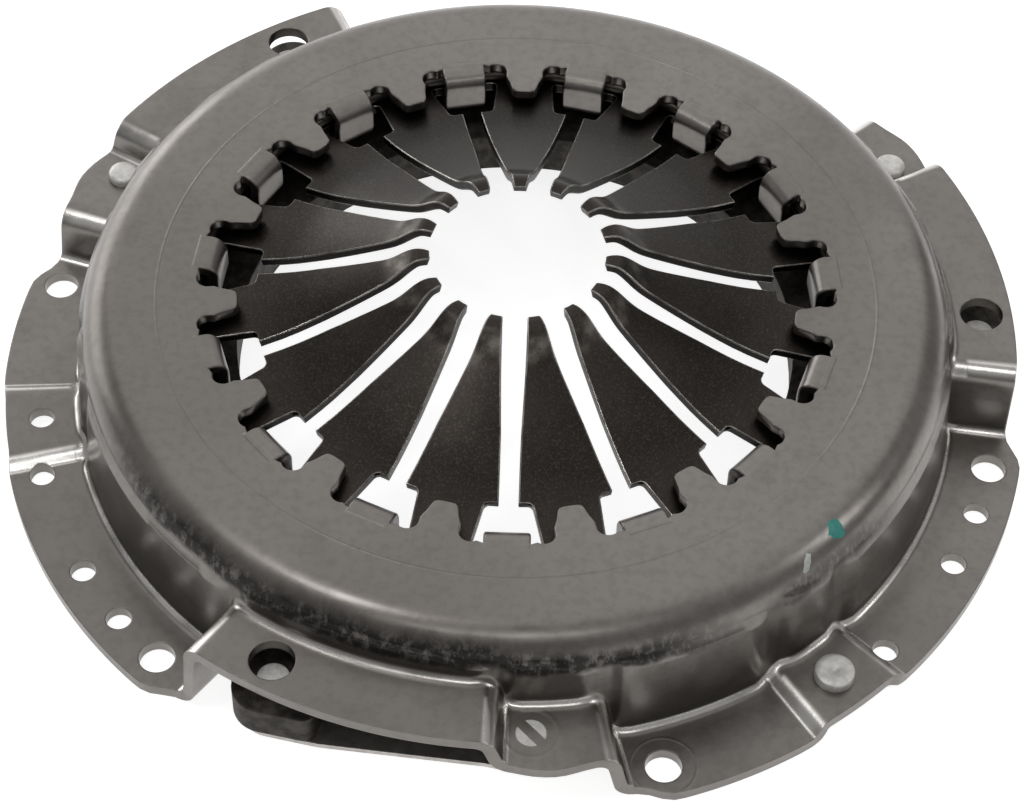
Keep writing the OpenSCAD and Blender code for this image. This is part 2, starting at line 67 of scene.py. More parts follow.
def to_object(name, verts, faces, scale=MM):
    mesh = bpy.data.meshes.new(name)
    points = [tuple(float(c) * scale for c in v) for v in verts]
    mesh.from_pydata(points, [], [tuple(int(i) for i in f) for f in faces])
    mesh.validate()
    obj = bpy.data.objects.new(name, mesh)
    bpy.context.scene.collection.objects.link(obj)
    return obj


def finish_mesh(obj, angle):
    """Smooth shading, with edges sharper than the angle left sharp."""
    for p in obj.data.polygons:
        p.use_smooth = True
    obj.data.set_sharp_from_angle(angle=math.radians(angle))


def bake_modifiers(obj):
    graph = bpy.context.evaluated_depsgraph_get()
    mesh = bpy.data.meshes.new_from_object(obj.evaluated_get(graph))
    obj.modifiers.clear()
    old = obj.data
    obj.data = mesh
    bpy.data.meshes.remove(old)


def joined(name, parts):
    verts, faces = [], []
    for v, f in parts:
        faces += [[i + len(verts) for i in g] for g in f]
        verts += [list(p) for p in v]
    return to_object(name, verts, faces)


def mesh_data(obj):
    v = [np.array(p.co) / MM for p in obj.data.vertices]
    f = [list(p.vertices) for p in obj.data.polygons]
    return v, f


def turned(data, deg):
    c, s = math.cos(math.radians(deg)), math.sin(math.radians(deg))
    return [np.array([v[0] * c - v[1] * s, v[0] * s + v[1] * c, v[2]]) for v in data[0]], data[1]


def tube(rows):
    """Quads between successive loops of equal length, closed at both ends."""
    n = len(rows[0])
    verts = [p for r in rows for p in r]
    faces = []
    for i in range(len(rows) - 1):
        for j in range(n):
            k = (j + 1) % n
            faces.append([i * n + j, i * n + k, (i + 1) * n + k, (i + 1) * n + j])
    faces.append(list(range(n))[::-1])
    faces.append([(len(rows) - 1) * n + j for j in range(n)])
    return verts, faces


def direction(a, b):
    return (b - a) / np.linalg.norm(b - a)


def left(v):
    return np.array([-v[1], v[0]])


def bend_line(path, n):
    """Points and left normals along a line [x, y, bend radius], rounded at its corners."""
    pts = [np.array(p[:2], float) for p in path]
    out = [(pts[0], left(direction(pts[0], pts[1])))]
    for i in range(1, len(pts) - 1):
        u, w = direction(pts[i - 1], pts[i]), direction(pts[i], pts[i + 1])
        turn = math.atan2(u[0] * w[1] - u[1] * w[0], float(u @ w))
        side = 1.0 if turn > 0 else -1.0
        r = path[i][2]
        centre = pts[i] - r * math.tan(abs(turn) / 2) * u + side * r * left(u)
        for k in range(n + 1):
            t = turn * k / n
            m = math.cos(t) * left(u) - math.sin(t) * u
            out.append((centre - side * r * m, m))
    out.append((pts[-1], left(direction(pts[-2], pts[-1]))))
    return out


def section(w, t, c, n):
    """Loop [across, depth] of a strip of half width w and thickness t with chamfers c."""
    margin = c + 0.12
    inner = list(np.linspace(-w + margin, w - margin, n))
    across = [-w + c] + inner + [w - c]
    top = [(x, 0.0) for x in across]
    low = [(x, -t) for x in across[::-1]]
    return top + [(w, -c), (w, -t + c)] + low + [(-w, -t + c), (-w, -c)]


def lathe(profile, segments, at):
    """Closed solid of revolution of a profile [radius, height] about a vertical line."""
    verts, faces = [], []
    for r, z in profile:
        for k in range(segments):
            a = 2 * math.pi * k / segments
            verts.append([at[0] + r * math.cos(a), at[1] + r * math.sin(a), z])
    for i in range(len(profile) - 1):
        low, high = i * segments, (i + 1) * segments
        for k in range(segments):
            j = (k + 1) % segments
            faces.append([low + k, low + j, high + j, high + k])
    faces.append(list(range(segments))[::-1])
    faces.append([(len(profile) - 1) * segments + k for k in range(segments)])
    return verts, faces


def discard(*objects):
    for obj in objects:
        mesh = obj.data
        bpy.data.objects.remove(obj)
        bpy.data.meshes.remove(mesh)


# Cover: stepped flange, wall with its formed panels, shoulder and top
SHEET = 3.2
TOP = 38.5
TOP_DROP = 0.05
WALL_R = 114.2
WALL_TILT = math.radians(4.4)
WALL_SLOPE = 0.077
SHOULDER_R = 9.8
FOOT_R = 2.5
PANEL_BULGE = 1.15
FLANGE_START = 118.0
# Radii of the flat top from under the toothed ring out to the shoulder
TOP_RADII = (92.3, 93.5, 96.0, 99.0, 101.2)
LEVEL = {"base": 3.2, "balance": 6.1, "pad": 17.3, "bridge": 25.4}
# Each third of the flange starts at its steep step
THIRD_START = -35.4
# Steps of the flange: angle, level before, level after, half run
STEPS = [
    (-0.7, "bridge", "pad", 1.4),
    (12.4, "pad", "base", 1.4),
    (35.2, "base", "balance", 1.6),
    (46.0, "balance", "base", 1.6),
    (84.6, "base", "bridge", 0.9),
]
STEP_ANGLES = np.array([s[0] + THIRD * i for i in range(-1, 4) for s in STEPS])
STEP_BEND = 4.1
STEP_REACH = 9
STEP_PITCH_R = 123.0
# Radius of the flange's rim by angle, for one third
RIM = [
    (-35.4, 130.0), (-2.2, 130.0), (-0.7, 130.0), (0.8, 130.7), (2.3, 131.5), (3.9, 132.2),
    (5.5, 132.45), (7.1, 132.1), (8.6, 131.3), (9.8, 130.8), (13.6, 130.7), (15.2, 131.2),
    (16.2, 132.5), (17.3, 134.2), (18.3, 134.9), (19.3, 135.0), (33.4, 135.0), (34.4, 134.8),
    (35.8, 134.1), (36.8, 134.0), (44.4, 134.0), (45.4, 134.15), (46.8, 134.9), (47.8, 135.0),
    (78.2, 135.0), (79.2, 134.85), (80.2, 134.0), (81.4, 132.2), (82.4, 130.9), (83.4, 130.2),
    (84.6, 130.0),
]
# Height of the ledge over the wall's formed panels by angle, for one third
LEDGE = [
    (-35.4, 30.1), (-33.0, 30.3), (-20.9, 33.2), (-14.6, 32.2), (-9.8, 32.5), (-4.5, 30.8),
    (-0.7, 28.2), (0.2, 28.5), (1.6, 31.6), (7.2, 31.2), (11.5, 26.8), (12.8, 30.0), (23.8, 28.9),
    (34.2, 29.1), (35.4, 30.5), (37.1, 31.6), (45.1, 27.8), (47.5, 29.4), (60.0, 29.2), (80.0, 29.0),
    (84.6, 29.6),
]


def third(x):
    return (x - THIRD_START) % THIRD + THIRD_START


def table_value(table, x):
    t = table + [(table[0][0] + THIRD, table[0][1])]
    return float(np.interp(third(x), [p[0] for p in t], [p[1] for p in t]))


def step_columns(turn, level, other, run):
    """Angles and heights along one step of the flange."""
    z0, z1 = LEVEL[level] - SHEET / 2, LEVEL[other] - SHEET / 2
    path = [[-STEP_REACH, z0], [-run, z0, STEP_BEND], [run, z1, STEP_BEND], [STEP_REACH, z1]]
    bend_points = 8
    line = [p + m * SHEET / 2 for p, m in bend_line(path, bend_points)[1:-1]]
    p0, p1 = line[bend_points], line[bend_points + 1]
    rows = 1 + int(abs(p1[1] - p0[1]) / 1.2)
    line += [p0 + (p1 - p0) * k / rows for k in range(1, rows)]
    return [(turn + math.degrees(q[0] / STEP_PITCH_R), q[1]) for q in line]


def stations():
    """Angle and top height of every column round the flange."""
    widest, spacing = 1.6, 1.2
    cols = []
    for i in range(3):
        for a, level, other, run in STEPS:
            cols += step_columns(a + THIRD * i, level, other, run)
    cols.sort()
    out = []
    for k, (a, z) in enumerate(cols):
        out.append((a, z))
        b = cols[k + 1][0] if k + 1 < len(cols) else cols[0][0] + 360.0
        if b - a > widest:
            n = int(math.ceil((b - a) / spacing))
            out += [(a + (b - a) * j / n, z) for j in range(1, n)]
    return out


def column(a, level):
    """Outline [r, z] of the sheet's upper side at one angle, from the top face out to the rim."""
    shoulder_points, wall_rows, foot_points, flange_rows = 44, 15, 8, 8
    groove = float(np.min(smooth(np.abs(a - STEP_ANGLES), 0.6, 3.0)))
    ledge = table_value(LEDGE, a)
    arc_z = TOP - SHOULDER_R
    arc_c = WALL_R - WALL_SLOPE * arc_z - SHOULDER_R / math.cos(WALL_TILT)
    pts = [(r, TOP) for r in TOP_RADII]
    for t in np.linspace(math.radians(90), WALL_TILT, shoulder_points):
        pts.append((arc_c + SHOULDER_R * math.cos(t), arc_z + SHOULDER_R * math.sin(t)))
    z_top, z_low = pts[-1][1], level + FOOT_R
    for k in range(1, wall_rows):
        z = z_top + (z_low - z_top) * k / wall_rows
        pts.append((WALL_R - WALL_SLOPE * z, z))
    foot_c = WALL_R - WALL_SLOPE * z_low + FOOT_R / math.cos(WALL_TILT)
    for t in np.linspace(math.pi + WALL_TILT, 1.5 * math.pi, foot_points):
        pts.append((foot_c + FOOT_R * math.cos(t), z_low + FOOT_R * math.sin(t)))
    out = []
    for r, z in pts:
        bulge = PANEL_BULGE * groove * float(smooth(ledge - z, -0.4, 0.55))
        out.append((r + bulge * (0.25 if r > FLANGE_START else 1.0), z))
    rim = table_value(RIM, a)
    r0 = out[-1][0]
    for k in range(1, flange_rows + 1):
        out.append((r0 + (rim - r0) * k / flange_rows, level))
    return out


def shell():
    cols = stations()
    verts, faces = [], []
    grid = [column(a, z) for a, z in cols]
    n = len(grid[0])
    for (a, _), col in zip(cols, grid):
        c = unit(a + FRONT)
        verts += [(r * c[0], r * c[1], h) for r, h in col]
    for i in range(len(cols)):
        k = (i + 1) % len(cols)
        for j in range(n - 1):
            faces.append([i * n + j, i * n + j + 1, k * n + j + 1, k * n + j])
    obj = to_object("cover_shell", verts, faces)
    mod = obj.modifiers.new("sheet", "SOLIDIFY")
    mod.thickness = SHEET * MM
    mod.offset = -1.0
    mod.use_even_offset = True
    bake_modifiers(obj)
    clear_lugs(obj)
    cut(obj, flange_holes())
    return obj


def clear_lugs(obj):
    """Make room inside the wall where the plate's lugs pass the steep steps of the flange."""
    keep, lift, half_width, fade = 112.1, 22.0, 2.8, 1.4
    flank_r, flank_from, flank_to = 115.0, 0.2, 2.4
    flank_turn = Matrix.Rotation(math.radians(-0.4), 3, "Z")
    for v in obj.data.vertices:
        x, y, z = np.array(v.co) / MM
        r = math.hypot(x, y)
        off = math.degrees(math.atan2(y, x)) - FRONT - THIRD_START
        off = (off + THIRD / 2) % THIRD - THIRD / 2
        if z >= lift:
            continue
        if r < keep:
            k = 1.0 + (keep / r - 1.0) * float(smooth(half_width - abs(off), 0.0, fade))
            v.co.x *= k
            v.co.y *= k
        if r < flank_r and flank_from < off < flank_to:
            v.co = flank_turn @ v.co


def cut(obj, cutters):
    tool = joined("cutter", cutters)
    mod = obj.modifiers.new("cut", "BOOLEAN")
    mod.operation = "DIFFERENCE"
    mod.solver = "MANIFOLD"
    mod.object = tool
    bake_modifiers(obj)
    discard(tool)


def rod(a, r, d, z0, z1):
    return lathe([(d / 2, z0), (d / 2, z1)], 48, r * unit(a + FRONT))


# Holes of the flange, and the pads that carry rivets
BOLT_A, BOLT_PITCH_R, BOLT_D = 18.0, 127.0, 9.0
SMALL_HOLE_ANGLES, SMALL_HOLE_R, SMALL_HOLE_D = (48.0, 71.0, 63.0), 126.8, 6.5
BALANCE_A, BALANCE_R = 40.4, 124.7
ACCESS_A, ACCESS_D = 93.5, 11.2
STRAP_R = 122.0
LUG_A, PAD_A = -26.5, 3.4


def flange_holes():
    out = []
    for i in range(6):
        out.append(rod(BOLT_A + THIRD / 2 * i, BOLT_PITCH_R, BOLT_D, -1, 5))
    for i in range(3):
        for a in SMALL_HOLE_ANGLES:
            out.append(rod(a + THIRD * i, SMALL_HOLE_R, SMALL_HOLE_D, -1, 5))
        # The first balance pad carries a rivet in place of an open hole
        if i:
            out.append(rod(BALANCE_A + THIRD * i, BALANCE_R, SMALL_HOLE_D, 1, 8))
        out.append(rod(ACCESS_A + THIRD * i, STRAP_R, ACCESS_D, 20, 28))
    return out


# Inner edge of the top: back of a tab's slot, round notch, then one side of a tooth about its middle
SLOT_BACK = [(82.0, 0.0), (82.0, 2.8), (82.0, 5.75)]
NOTCH_A, NOTCH_PITCH_R, NOTCH_R = 6.28, 79.3, 2.9
TOOTH_SIDE = [
    (77.5, -5.06), (76.4, -4.62), (75.2, -4.1), (74.0, -3.72), (73.0, -3.42), (72.4, -3.18),
    (71.9, -2.75), (71.6, -2.1), (71.5, -1.2), (71.5, 0.0),
]
TOP_RING_R = 92.6


def spun(points, deg):
    c, s = unit(deg)
    return [(x * c - y * s, x * s + y * c) for x, y in points]


def tooth_outline():
    """Inner edge of the top, with its notches and teeth, all round, as [x, y]."""
    centre = NOTCH_PITCH_R * unit(NOTCH_A)
    half = SLOT_BACK + [tuple(centre + NOTCH_R * unit(b)) for b in np.linspace(-28, 96, 12)]
    half += spun(TOOTH_SIDE, PITCH / 2)
    c, s = unit(PITCH)
    one = half + [(x * c + y * s, x * s - y * c) for x, y in half[-2:0:-1]]
    out = []
    for k in range(FINGERS):
        out += spun(one, k * PITCH + FRONT)
    return np.array(out)


def toothed_top():
    line = tooth_outline()
    n = len(line)
    step = np.roll(line, -1, axis=0) - np.roll(line, 1, axis=0)
    step /= np.linalg.norm(step, axis=1)[:, None]
    out = np.stack([step[:, 1], -step[:, 0]], axis=1)
    ring = TOP_RING_R * np.array([unit(k * 2.0) for k in range(180)])
    top, low = TOP - TOP_DROP, TOP - SHEET + TOP_DROP
    # Rounded edge of the teeth, from the upper side to the lower one
    edge = [(0.62, top), (0.5, top), (0.18, top - 0.14), (0.0, top - 0.5), (0.0, low + 0.3), (0.3, low)]
    rows = [(line + back * out, z) for back, z in edge]
    verts = [(p[0], p[1], z) for r, z in rows for p in r]
    faces = []
    for i in range(len(rows) - 1):
        for j in range(n):
            k = (j + 1) % n
            faces.append([i * n + j, (i + 1) * n + j, (i + 1) * n + k, i * n + k])
    # Flat upper and lower side between the toothed edge and the ring, and the ring's own wall
    starts = []
    for z in (top, low):
        starts.append(len(verts))
        verts += [(p[0], p[1], z) for p in ring]
    m = len(ring)
    last = (len(rows) - 1) * n
    for inner, first, at in ((rows[0][0], 0, starts[0]), (rows[-1][0], last, starts[1])):
        loops = [[Vector((p[0], p[1], 0.0)) for p in loop] for loop in (ring, inner)]
        for tri in tessellate_polygon(loops):
            faces.append([at + i if i < m else first + i - m for i in tri])
    for j in range(m):
        k = (j + 1) % m
        faces.append([starts[0] + j, starts[0] + k, starts[1] + k, starts[1] + j])
    return verts, faces


# Tab: root in the top, face that stands in the slot, and hook under the spring's rim
TAB_T, TAB_HALF_W, TAB_BEND = 3.05, 5.7, 2.75
TAB_ROOT_R, TAB_FACE_R, HOOK_END_R, HOOK_Z = 83.6, 78.3, 82.9, 26.83


def tab():
    mid = TOP - TOP_DROP - TAB_T / 2 + 0.02
    path = [[TAB_ROOT_R, mid], [TAB_FACE_R, mid, TAB_BEND],
            [TAB_FACE_R, HOOK_Z, TAB_BEND], [HOOK_END_R, HOOK_Z]]
    rows = []
    for i, (p, m) in enumerate(bend_line(path, 9)):
        q = p + m * TAB_T / 2
        w = TAB_HALF_W - 0.15 * float(smooth(i, 2, 8))
        rows.append([(q[0] + m[0] * d, u, q[1] + m[1] * d) for u, d in section(w, TAB_T, 0.35, 5)])
    return tube(rows)


def fix_normals(obj):
    bm = bmesh.new()
    bm.from_mesh(obj.data)
    bmesh.ops.recalc_face_normals(bm, faces=bm.faces)
    bm.to_mesh(obj.data)
    bm.free()


def cover():
    base = shell()
    parts = [mesh_data(base), toothed_top()]
    one = tab()
    for k in range(FINGERS):
        parts.append(turned(one, k * PITCH + FRONT))
    discard(base)
    obj = joined("cover_pressing", parts)
    fix_normals(obj)
    finish_mesh(obj, 34)
    return obj


# Diaphragm spring: one finger mesh, turned to its fifteen places
# Upper side of a finger as [radius, height], from its rim in to its tip
FINGER_TOP = [
    (103.2, 27.42), (83.0, 31.72), (74.0, 33.62), (67.0, 35.05), (60.0, 36.6), (55.0, 38.2),
    (50.0, 40.0), (45.0, 41.9), (40.0, 43.9), (36.0, 45.6), (33.5, 46.8), (31.6, 48.1), (30.0, 49.5),
    (28.2, 51.0), (26.6, 51.95), (25.2, 52.3), (23.8, 52.25), (22.4, 51.95),
]
SPRING_T = 2.45
SAW_HALF = 0.2
# Half width of the slot between two fingers, and of the window at its outer end, by radius
SLOT_RADII = [22.4, 24, 26.6, 30, 34.5, 38, 42, 50, 60]
SLOT_HALF = [3.06, 3.04, 3.15, 3.15, 3.0, 2.88, 2.7, 2.4, 2.3]
WINDOW_RADII = [67.4, 69.0, 76.5, 81.5]
WINDOW_HALF = [5.75, 6.05, 8.0, 9.25]
WINDOW_IN, WINDOW_OUT = WINDOW_RADII[0], WINDOW_RADII[-1]
WINDOW_IN_CORNER, WINDOW_OUT_CORNER = 1.5, 2.0
# Radii of the loops along a finger, closer at its tip, its bends and its window
FINGER_ROWS = [
    22.4, 22.55, 22.9, 23.5, 24.3, 25.2, 26.0, 26.8, 27.6, 28.4, 29.2, 30.0, 30.8, 31.6, 32.6, 33.6,
    34.8, 36.0, 38.0, 40.0, 43.0, 46.0, 50.0, 54.0, 58.0, 62.0, 65.0, 67.0, 67.38, 67.42, 67.5,
    67.7, 68.0, 68.4, 68.9, 71.0, 74.0, 77.0, 79.5, 80.1, 80.6, 81.0, 81.3, 81.46, 81.5, 81.54,
    84.0, 88.0, 93.0, 98.0, 102.4, 102.9,
]
TIP_R, TIP_ROUND, TIP_NARROW = 23.0, 0.62, 0.16
TIP_SLOPE = 0.3


def finger_z(r):
    """Height of a finger's upper side, on a smooth curve through FINGER_TOP."""
    xs = np.array([p[0] for p in FINGER_TOP][::-1])
    zs = np.array([p[1] for p in FINGER_TOP][::-1])
    m = np.gradient(zs, xs)
    i = int(np.clip(np.searchsorted(xs, r) - 1, 0, len(xs) - 2))
    h = xs[i + 1] - xs[i]
    t = (r - xs[i]) / h
    return float((1 + 2 * t) * (1 - t) ** 2 * zs[i] + t * (1 - t) ** 2 * h * m[i]
                 + t * t * (3 - 2 * t) * zs[i + 1] + t * t * (t - 1) * h * m[i + 1])


def corner(reach, radius):
    """How much a rounded corner narrows a window at a distance from where its arc starts."""
    return radius - math.sqrt(max(0.0, radius ** 2 - reach ** 2))


def finger_half(r):
    """Half width along the arc at radius r."""
    edge = r * math.sin(math.radians(PITCH / 2))
    if r < WINDOW_IN:
        return edge - float(np.interp(r, SLOT_RADII, SLOT_HALF))
    if r < WINDOW_OUT:
        win = float(np.interp(r, WINDOW_RADII, WINDOW_HALF))
        win -= corner(max(0.0, WINDOW_IN + WINDOW_IN_CORNER - r), WINDOW_IN_CORNER)
        win -= corner(max(0.0, r - WINDOW_OUT + WINDOW_OUT_CORNER), WINDOW_OUT_CORNER)
        return edge - win
    return edge - SAW_HALF


def finger():
    rows = []
    for r in FINGER_ROWS:
        w = finger_half(r)
        if r < TIP_R:
            w -= TIP_NARROW * (1 - math.sqrt(max(0.0, 1 - ((TIP_R - r) / TIP_ROUND) ** 2)))
        h = 0.05
        slope = (finger_z(r + h) - finger_z(r - h)) / (2 * h) if r > 22.5 else TIP_SLOPE
        m = np.array([-slope, 1.0]) / math.hypot(slope, 1.0)
        row = []
        for u, d in section(w, SPRING_T, 0.2, 7):
            rr, zz = r + m[0] * d, finger_z(r) + m[1] * d
            a = u / r
            row.append((rr * math.cos(a), rr * math.sin(a), zz))
        rows.append(row)
    obj = to_object("finger_mesh", *tube(rows))
    fix_normals(obj)
    finish_mesh(obj, 40)
    return obj


# Leaf straps: three packs of three leaves between a lug and a strap pad
SPAN = 2 * STRAP_R * math.sin(math.radians((PAD_A - LUG_A) / 2))
STRAP_DIR = (PAD_A + LUG_A) / 2 + 90.0
LEAF_T, LEAF_PITCH, LEAF_END_R, LEAF_BEND = 0.46, 0.5, 8.75, 10.0
FIRST_DROP = 0.24
PACK_LOW, PACK_HIGH = 6.9, 14.0
LUG_FLAT, PAD_FLAT = 13.0, 9.0


def strap_point(i, x, y, z):
    """Point of strap i in the part's frame; x runs from the lug's rivet to the cover's."""
    o = STRAP_R * unit(LUG_A)
    c, s = unit(STRAP_DIR)
    p = np.array([o[0] + x * c - y * s, o[1] + x * s + y * c])
    c, s = unit(FRONT + i * THIRD)
    return (p[0] * c - p[1] * s, p[0] * s + p[1] * c, z)


def leaf(i, number):
    drop = (number - 1) * LEAF_PITCH + FIRST_DROP
    low, high = PACK_LOW - drop, PACK_HIGH - drop
    end = LEAF_END_R - 0.05
    path = [[-end, low], [LUG_FLAT, low, LEAF_BEND],
            [SPAN - PAD_FLAT, high, LEAF_BEND], [SPAN + end, high]]
    line = bend_line(path, 5)
    dense = []
    for k in range(len(line) - 1):
        (p, m), (q, w) = line[k], line[k + 1]
        spacing = 0.8 if k in (0, len(line) - 2) else 3.0
        n = max(1, int(np.linalg.norm(q - p) / spacing))
        for j in range(n):
            dense.append((p + (q - p) * j / n, m + (w - m) * j / n))
    dense.append(line[-1])
    rows = []
    for p, m in dense:
        m = m / np.linalg.norm(m)
        out = max(-p[0], p[0] - SPAN, 0.0)
        w = math.sqrt(max(LEAF_END_R ** 2 - out ** 2, 0.6))
        q = p + m * LEAF_T / 2
        loop = section(w, LEAF_T, 0.08, 3)
        rows.append([strap_point(i, q[0] + m[0] * d, u, q[1] + m[1] * d) for u, d in loop])
    obj = to_object("strap_%d_leaf_%d_bent" % (i + 1, number), *tube(rows))
    fix_normals(obj)
    finish_mesh(obj, 30)
    return obj


# Rivets with rounded heads
RIVET_R, FOOT_HEAD_R, FOOT_HEAD_H = 3.15, 5.0, 1.25
PACK_UNDER = PACK_HIGH - 1.48
FOOT_Z = PACK_UNDER - 1.4


def foot_profile():
    foot_top = FOOT_Z + FOOT_HEAD_H
    return [(FOOT_HEAD_R - 0.3, FOOT_Z), (FOOT_HEAD_R, FOOT_Z + 0.3),
            (FOOT_HEAD_R, foot_top), (RIVET_R, foot_top)]


def headed_rivet(seat, head_r, head_h):
    """Profile from the foot up to a rounded head on the sheet at the height seat."""
    base, crown = seat + 0.05, seat + head_h
    return foot_profile() + [
        (RIVET_R, base), (head_r, base), (head_r, crown - 1.1), (head_r - 0.18, crown - 0.62),
        (head_r - 0.65, crown - 0.2), (head_r - 1.4, crown), (head_r * 0.4, crown + 0.05)]


def slotted_rivet(centre):
    """Flush rivet of the front strap pad, with a slot cut across its end."""
    flush, sheet_under, collar_r = LEVEL["pad"], 14.2, 3.8
    prof = foot_profile() + [
        (RIVET_R, sheet_under), (collar_r, sheet_under), (collar_r, flush - 0.05),
        (collar_r - 0.25, flush + 0.2), (1.5, flush + 0.22)]
    obj = to_object("slotted", *lathe(prof, 48, centre))
    fix_normals(obj)
    slot_angle, slot_half_w, slot_half_length = 40.0, 1.3, 8
    u = unit(FRONT + PAD_A + slot_angle)
    v = left(u)
    bar = []
    for z in (14.9, 19.0):
        for s, t in ((-1, -1), (1, -1), (1, 1), (-1, 1)):
            p = centre + u * slot_half_length * s + v * slot_half_w * t
            bar.append((p[0], p[1], z))
    sides = [[3, 2, 1, 0], [4, 5, 6, 7], [0, 1, 5, 4], [1, 2, 6, 5], [2, 3, 7, 6], [3, 0, 4, 7]]
    cut(obj, [(bar, sides)])
    return obj


def cover_rivets():
    prof = headed_rivet(LEVEL["pad"], 4.2, 2.35)
    places = [STRAP_R * unit(PAD_A + FRONT + i * THIRD) for i in range(3)]
    round_ones = joined("strap_pad_rivets", [lathe(prof, 40, c) for c in places[1:]])
    slotted = slotted_rivet(places[0])
    both = joined("cover_strap_rivet_set", [mesh_data(round_ones), mesh_data(slotted)])
    discard(round_ones, slotted)
    fix_normals(both)
    finish_mesh(both, 34)
    return both


def balance_rivet():
    top = LEVEL["balance"]
    head = top + 2.8
    prof = [(4.2, 0.45), (4.5, 0.8), (4.5, 2.8), (RIVET_R, 2.8), (RIVET_R, top + 0.05),
            (5.0, top + 0.05), (5.0, top + 1.9), (4.8, head - 0.35), (4.3, head - 0.05), (3.6, head),
            (1.3, head), (0.95, head - 0.2), (0.4, head - 0.35)]
    obj = to_object("balance_rivet_headed", *lathe(prof, 48, BALANCE_R * unit(BALANCE_A + FRONT)))
    fix_normals(obj)
    finish_mesh(obj, 34)
    return obj


# Materials
def srgb(r, g, b):
    def lin(c):
        c /= 255.0
        return c / 12.92 if c <= 0.04045 else ((c + 0.055) / 1.055) ** 2.4
    return (lin(r), lin(g), lin(b), 1.0)


class Nodes:
    """One material's node tree, with a call for each kind of node it uses."""

    def __init__(self, name):
        self.mat = bpy.data.materials.new(name)
        self.mat.use_nodes = True
        self.tree = self.mat.node_tree
        self.tree.nodes.clear()
        self.out = self.add("ShaderNodeOutputMaterial")
        self.coords = self.add("ShaderNodeTexCoord")

    def add(self, kind, **values):
        node = self.tree.nodes.new(kind)
        for k, v in values.items():
            setattr(node, k, v)
        return node

    def link(self, a, b):
        self.tree.links.new(a, b)

    def put(self, value, socket):
        if hasattr(value, "is_output"):
            self.link(value, socket)
        else:
            socket.default_value = value

    def noise(self, scale, detail, rough, stretch=None, seed=0.0):
        m = self.add("ShaderNodeMapping")
        m.inputs["Location"].default_value = (seed, seed * 0.7, seed * 0.3)
        if stretch:
            m.inputs["Scale"].default_value = stretch
        self.link(self.coords.outputs["Object"], m.inputs["Vector"])
        n = self.add("ShaderNodeTexNoise")
        n.inputs["Scale"].default_value = scale
        n.inputs["Detail"].default_value = detail
        n.inputs["Roughness"].default_value = rough
        self.link(m.outputs["Vector"], n.inputs["Vector"])
        return n.outputs["Fac"]

    def ramp(self, value, a, b, lo=0.0, hi=1.0):
        n = self.add("ShaderNodeMapRange")
        n.interpolation_type = "SMOOTHSTEP"
        self.link(value, n.inputs["Value"])
        for k, v in (("From Min", a), ("From Max", b), ("To Min", lo), ("To Max", hi)):
            n.inputs[k].default_value = v
        return n.outputs["Result"]

    def math(self, op, a, b=0.0):
        n = self.add("ShaderNodeMath", operation=op)
        self.put(a, n.inputs[0])
        self.put(b, n.inputs[1])
        return n.outputs[0]

    def mix(self, fac, a, b):
        n = self.add("ShaderNodeMix", data_type="RGBA")
        self.put(fac, n.inputs[0])
        self.put(a, n.inputs[6])
        self.put(b, n.inputs[7])
        return n.outputs[2]

    def place(self):
        n = self.add("ShaderNodeSeparateXYZ")
        self.link(self.coords.outputs["Object"], n.inputs[0])
        return n.outputs

    def edge(self, radius, low=0.0, high=0.35):
        """1 on worn outer edges, 0 on flat ground."""
        bev = self.add("ShaderNodeBevel", samples=4)
        bev.inputs["Radius"].default_value = radius
        geo = self.add("ShaderNodeNewGeometry")
        dot = self.add("ShaderNodeVectorMath", operation="DOT_PRODUCT")
        self.link(bev.outputs["Normal"], dot.inputs[0])
        self.link(geo.outputs["Normal"], dot.inputs[1])
        return self.ramp(self.math("SUBTRACT", 1.0, dot.outputs["Value"]), low, high)

    def normal_z(self):
        n = self.add("ShaderNodeSeparateXYZ")
        self.link(self.add("ShaderNodeNewGeometry").outputs["Normal"], n.inputs[0])
        return n.outputs[2]

    def metal(self, colour, rough, metallic, bump, bump_size, bevel=0.0, oil=0.0):
        s = self.add("ShaderNodeBsdfPrincipled")
        self.put(colour, s.inputs["Base Color"])
        self.put(rough, s.inputs["Roughness"])
        s.inputs["Metallic"].default_value = metallic
        s.inputs["Coat Weight"].default_value = oil
        s.inputs["Coat Roughness"].default_value = 0.14
        n = self.add("ShaderNodeBump")
        n.inputs["Strength"].default_value = 1.0
        n.inputs["Distance"].default_value = bump_size
        self.link(bump, n.inputs["Height"])
        if bevel:
            b = self.add("ShaderNodeBevel", samples=4)
            b.inputs["Radius"].default_value = bevel
            self.link(b.outputs["Normal"], n.inputs["Normal"])
        self.link(n.outputs["Normal"], s.inputs["Normal"])
        self.link(s.outputs[0], self.out.inputs["Surface"])
        return self.mat


def ring_mark(m, x, y, deg, radius, size, width):
    """1 on a pressed ring round a hole of the flange, 0 elsewhere."""
    c = radius * MM * unit(deg + FRONT)
    dx = m.math("POWER", m.math("SUBTRACT", x, float(c[0])), 2.0)
    dy = m.math("POWER", m.math("SUBTRACT", y, float(c[1])), 2.0)
    off = m.math("ABSOLUTE", m.math("SUBTRACT", m.math("SQRT", m.math("ADD", dx, dy)), size * MM))
    return m.ramp(off, width * MM, 0.0)


